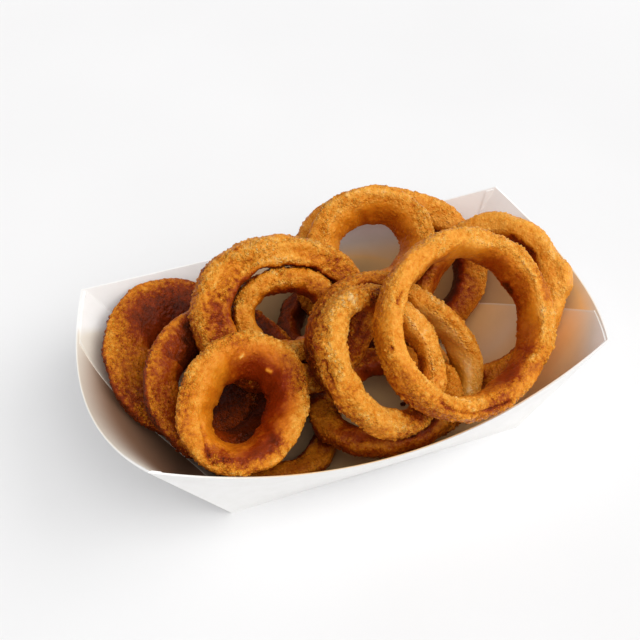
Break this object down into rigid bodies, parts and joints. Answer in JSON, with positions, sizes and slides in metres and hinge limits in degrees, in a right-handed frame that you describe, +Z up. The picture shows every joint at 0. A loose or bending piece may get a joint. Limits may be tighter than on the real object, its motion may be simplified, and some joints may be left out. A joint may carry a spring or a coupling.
{
  "type": "onion rings side in a paper food tray",
  "caption": "Open paper food tray with a loose heap of battered, fried onion rings that stand, lean and nest in one another.",
  "frame": {"origin": "middle of the tray's flat underside, on the surface that it rests on", "axes": "+Z up; +X along the tray's long side, towards the end with the big ring on top; -Y towards the front, where the tray's slanted glued ear is at the right end"},
  "size_m": [0.242, 0.1512, 0.0994],
  "materials": {
    "paper": "matt white paperboard",
    "crust_01": "golden brown fried batter, slightly oily",
    "crust_02": "golden brown fried batter, slightly oily",
    "crust_03": "golden brown fried batter, slightly oily",
    "crust_04": "golden brown fried batter, slightly oily",
    "crust_05": "golden brown fried batter, slightly oily",
    "crust_06": "golden brown fried batter, slightly oily",
    "crust_07": "golden brown fried batter, slightly oily",
    "crust_08": "golden brown fried batter, slightly oily",
    "crust_09": "golden brown fried batter, slightly oily",
    "crust_10": "golden brown fried batter, slightly oily",
    "crust_11": "golden brown fried batter, slightly oily",
    "crust_12": "golden brown fried batter, slightly oily",
    "crust_13": "golden brown fried batter, slightly oily",
    "crust_14": "golden brown fried batter, slightly oily"
  },
  "bodies": {
    "root": {"paper_tray": "paper", "onion_ring_01": "crust_01", "onion_ring_02": "crust_02", "onion_ring_03": "crust_03", "onion_ring_04": "crust_04", "onion_ring_05": "crust_05", "onion_ring_06": "crust_06", "onion_ring_07": "crust_07", "onion_ring_08": "crust_08", "onion_ring_09": "crust_09", "onion_ring_10": "crust_10", "onion_ring_11": "crust_11", "onion_ring_12": "crust_12", "onion_ring_13": "crust_13", "onion_ring_14": "crust_14"}
  },
  "joints": []
}
